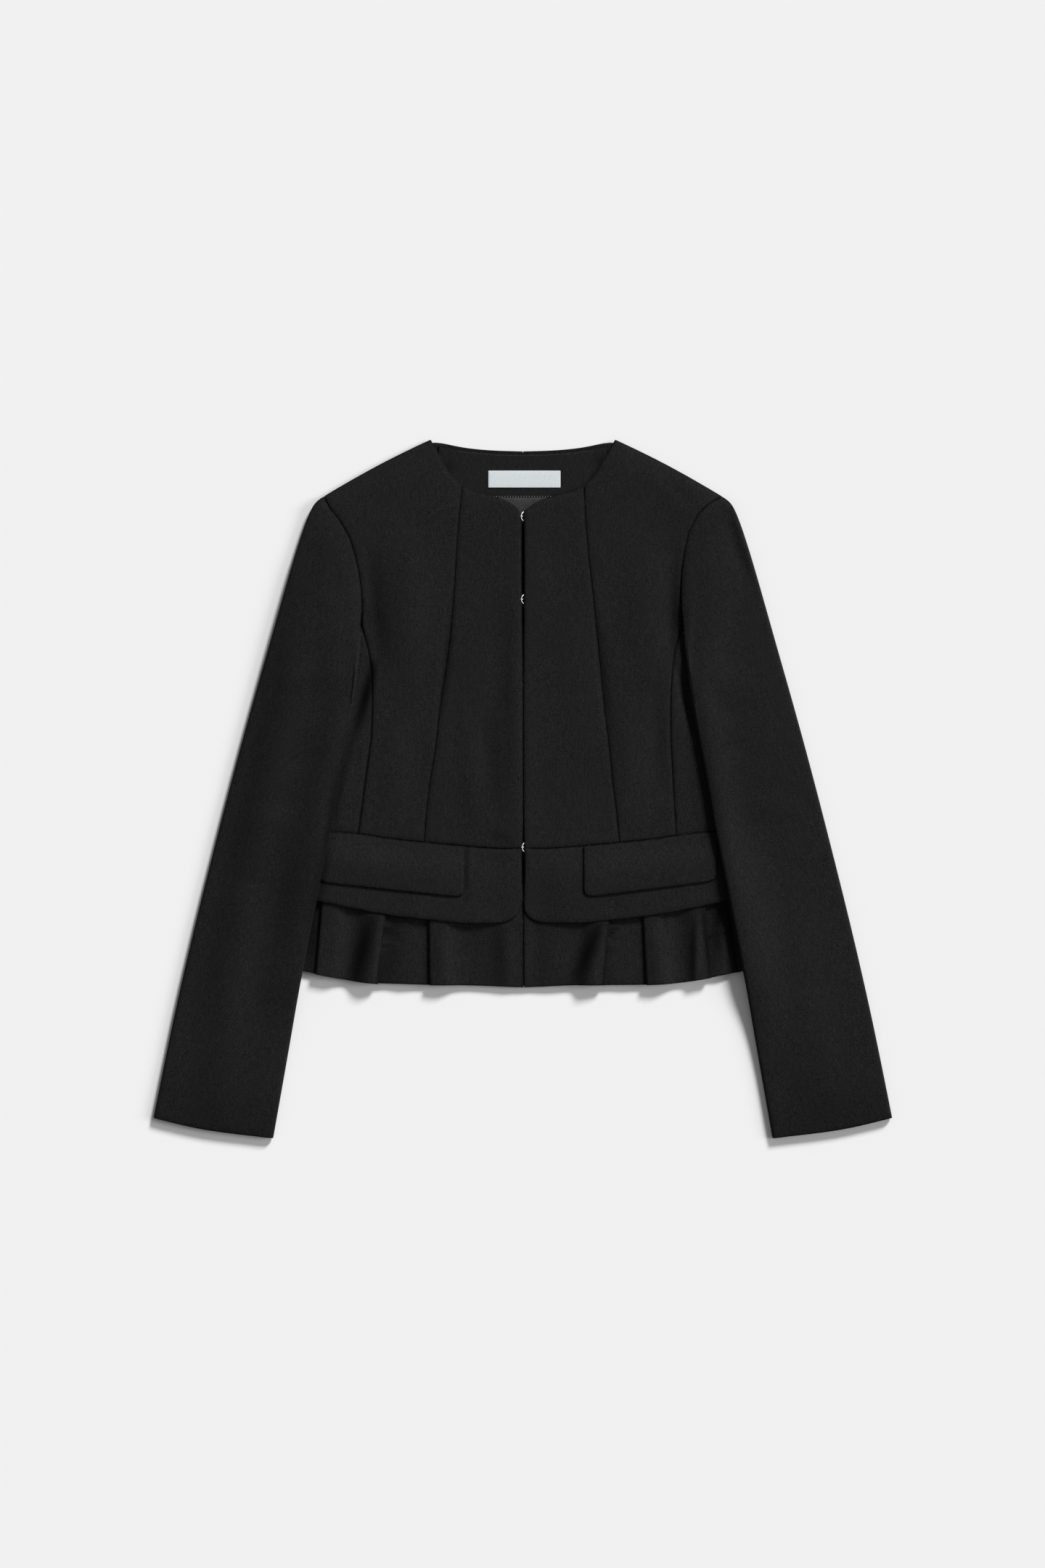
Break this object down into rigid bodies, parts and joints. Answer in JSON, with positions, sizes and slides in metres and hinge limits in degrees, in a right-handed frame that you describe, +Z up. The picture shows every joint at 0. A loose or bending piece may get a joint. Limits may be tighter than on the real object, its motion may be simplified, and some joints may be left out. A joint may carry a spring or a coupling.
{
  "type": "short jacket",
  "caption": "Short black collarless wool jacket with long sleeves, waist flaps and a two-tier peplum with a pleated ruffle, laid flat.",
  "frame": {"origin": "centre of the jacket's outline on the surface that it lies on", "axes": "+X to the wearer's left, +Y to the neck, +Z up from the surface"},
  "size_m": [0.7124, 0.6728, 0.0211],
  "materials": {
    "cloth": "matte wool twill",
    "lining": "satin",
    "label": "woven satin",
    "wire": "polished wire"
  },
  "bodies": {
    "root": {"back_left": "cloth", "back_right": "cloth", "side_left": "cloth", "side_right": "cloth", "front_side_left": "cloth", "front_side_right": "cloth", "front_centre_left": "cloth", "front_centre_right": "cloth", "sleeve_left": "cloth", "sleeve_right": "cloth", "tier_left": "cloth", "tier_right": "cloth", "tier_back": "cloth", "ruffle_left": "cloth", "ruffle_right": "cloth", "ruffle_back": "cloth", "flap_left": "cloth", "flap_right": "cloth", "neck_facing": "cloth", "lining": "lining", "label": "label", "hook_1": "wire", "hook_2": "wire", "hook_3": "wire", "hook_4": "wire", "hook_5": "wire", "eye_1": "wire", "eye_2": "wire", "eye_3": "wire", "eye_4": "wire", "eye_5": "wire"}
  },
  "joints": []
}
